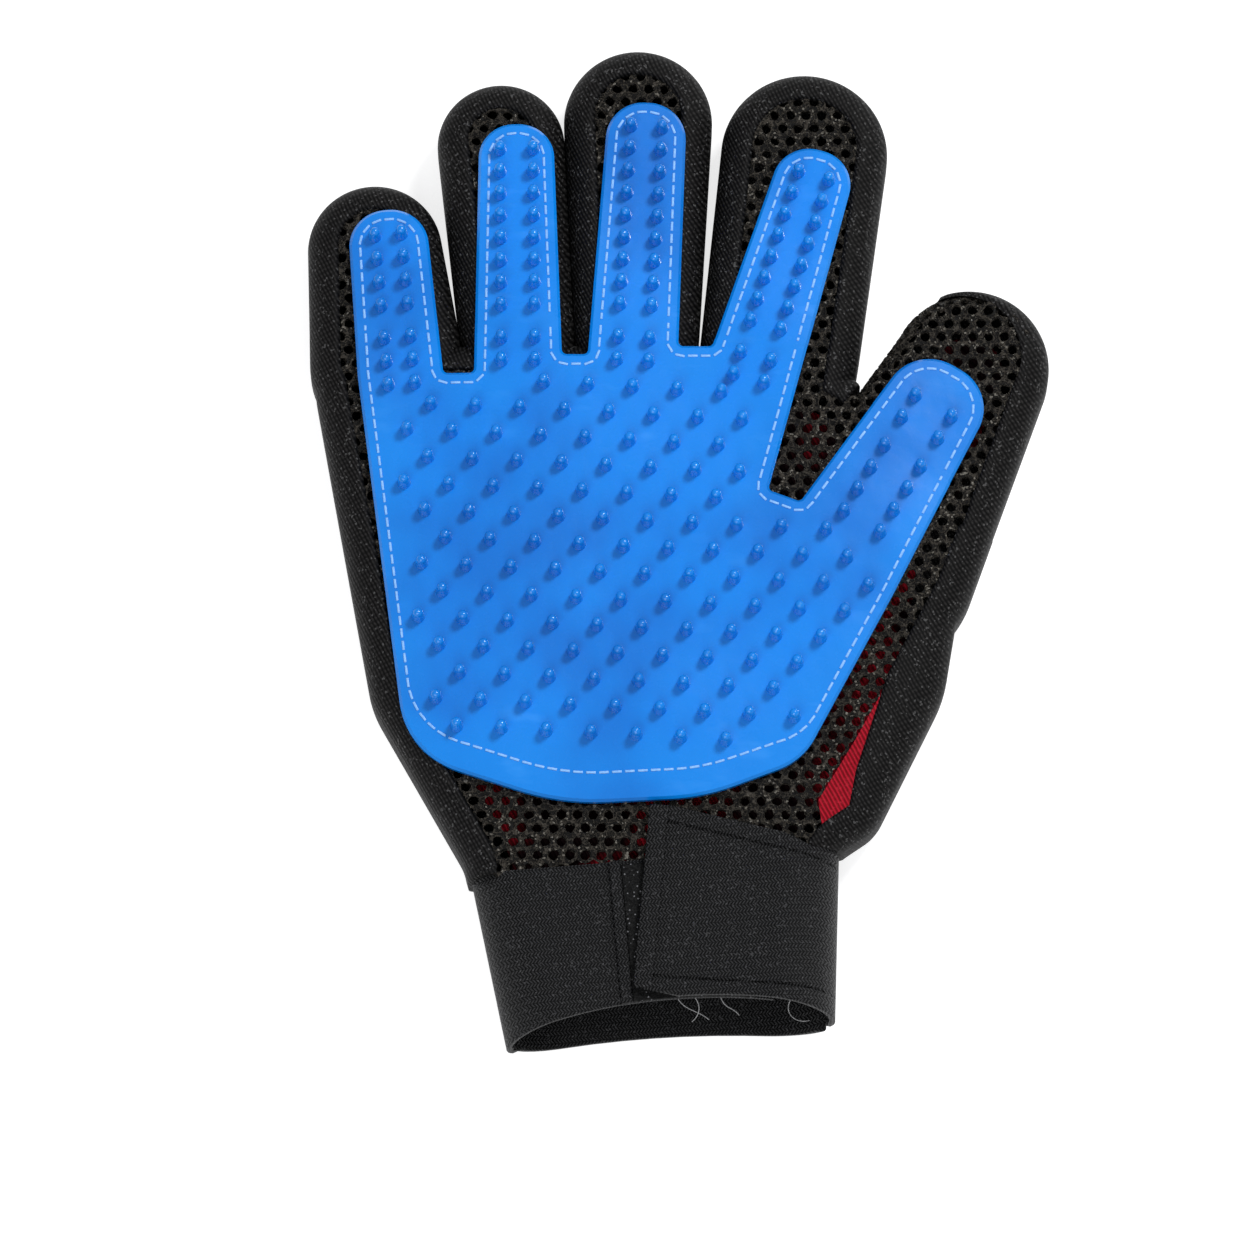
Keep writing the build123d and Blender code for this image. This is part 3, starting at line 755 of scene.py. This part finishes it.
elastic, tape = black_elastic(), fastener_tape()
cuff = {
    "palm": ["cuff_front_band", "cuff_back_band", "loop_patch_binding", "loop_patch"],
    "closure_tab_flap": ["closure_tab", "tab_end_hem", "hook_patch"],
}
for node, body in [(node, body) for body, nodes in cuff.items() for node in nodes]:
    made_of = "black_fastener_tape" if node in ("loop_patch", "hook_patch") else "black_elastic"
    band = workpiece("woven_" + node, node)
    editing(band)
    bpy.ops.mesh.dissolve_limited(angle_limit=radians(1))
    bpy.ops.mesh.select_all(action="DESELECT")
    bpy.ops.mesh.select_mode(type="EDGE")
    bpy.ops.mesh.edges_select_sharp(sharpness=radians(50))
    bpy.ops.mesh.bevel(offset=ELASTIC_EDGE, segments=2, clamp_overlap=True)
    bpy.ops.mesh.select_mode(type="VERT")
    bpy.ops.mesh.select_all(action="SELECT")
    bpy.ops.mesh.quads_convert_to_tris()
    done_editing()
    cut_across(band, CUFF_CUT)
    if node == "closure_tab":
        sewn_line(band, (5.1, 7.2), (30, -1))  # along its upper edge
        sewn_line(band, (0, -29.6), (38, -35.6))  # along its lower edge
    if node == "cuff_back_band":
        slacken(band)
    drape(band)
    smooth(band, 40)
    made_of == "black_elastic" and node.startswith("c")
    fit(band, body, tape if made_of == "black_fastener_tape" else elastic, made_of, node)


# ---- Loose threads in the cuff's mouth ----
# A few cut ends of fine grey thread hang from the hem inside the opening.

grey = Finish("grey_thread", Roughness=0.6)
grey.set("Base Color", grey.mix(grey.noise(0.6 * MM, 1), (0.12, 0.12, 0.12, 1), (0.42, 0.42, 0.42, 1)))
FIBRE_R = 0.11 * MM
HEM_Z, FIBRE_DROP = 21.5, 1.6
loose = [
    ((2.0, -33.6), (3.4, -36.6), (6.5, -36.2), (9.0, -38.4)),
    ((6.0, -33.8), (7.5, -35.8), (7.0, -37.5), (5.0, -38.6)),
    ((28.0, -36.4), (26.0, -39.0), (28.5, -41.6), (32.0, -40.6)),
    ((12.0, -34.4), (12.6, -37.0), (15.0, -36.4), (16.0, -38.0)),
]
for number, path in enumerate(loose):
    bpy.ops.object.select_all(action="DESELECT")
    bpy.ops.curve.primitive_bezier_curve_add()
    fibre = bpy.context.object
    fibre.name = "loose_thread_" + str(number)
    places = [in_cuff(x, y) for x, y in path]
    for step, place in enumerate(places):
        place.z = (HEM_Z - FIBRE_DROP * step) * MM
    first, last = fibre.data.splines[0].bezier_points
    fibre.location = (0, 0, 0)
    for handle in (first, last):
        handle.handle_left_type = handle.handle_right_type = "FREE"
    first.co, first.handle_right, first.handle_left = places[0], places[1], places[0]
    last.handle_left, last.co, last.handle_right = places[2], places[3], places[3]
    fibre.data.bevel_depth = FIBRE_R
    fibre.data.bevel_resolution = 1
    fibre.data.resolution_u = 12
    bpy.ops.object.convert(target="MESH")
    fit(fibre, "palm", grey.material, "black_elastic")


# ---- Floor, light and camera ----
# A plain white table, a large soft light from the wrist side, a small key light from beyond
# the index finger that shades the studs, and a long lens almost straight above.

bpy.ops.object.select_all(action="DESELECT")
bpy.ops.mesh.primitive_plane_add(size=6, location=(0, 0, -0.0005))
floor = bpy.context.object
floor.name = "floor"
paper = Finish("white_paper", Roughness=0.8)
paper.set("Base Color", (0.55, 0.55, 0.55, 1))
paper.set("Emission Color", (1, 1, 1, 1))
paper.shader.inputs["Emission Strength"].default_value = 0.75
floor.data.materials.append(paper.material)

AIM = Vector((-0.0065, -0.0092, 0.010))
CAMERA_ANGLE = 75        # degrees above the table
CAMERA_DISTANCE = 2.44


def lamp(name, place, size, watts):
    bpy.ops.object.light_add(type="AREA", location=place)
    light = bpy.context.object
    light.name = name
    light.data.size = size
    light.data.energy = watts
    light.visible_camera = False
    light.rotation_mode = "QUATERNION"
    light.rotation_quaternion = (AIM - Vector(place)).to_track_quat("-Z", "Y")


lamp("overhead_light", (-0.25, -0.80, 1.15), 1.1, 8.5)
lamp("key_light", (0.42, 0.50, 0.95), 0.26, 7.5)
world = bpy.data.worlds.new("studio")
bpy.context.scene.world = world
world.use_nodes = True
sky = world.node_tree.nodes["Background"]
sky.inputs["Color"].default_value = (0.93, 0.95, 1.0, 1)
sky.inputs["Strength"].default_value = 0.36

bpy.ops.object.camera_add()
camera = bpy.context.object
camera.name = "camera"
camera.data.lens = 300
camera.data.sensor_width = 36
back = Vector((0, -cos(radians(CAMERA_ANGLE)), sin(radians(CAMERA_ANGLE))))
camera.location = AIM + CAMERA_DISTANCE * back
camera.rotation_mode = "QUATERNION"
camera.rotation_quaternion = (-back).to_track_quat("-Z", "Y")
bpy.context.scene.camera = camera
bpy.context.scene.view_settings.view_transform = "Standard"
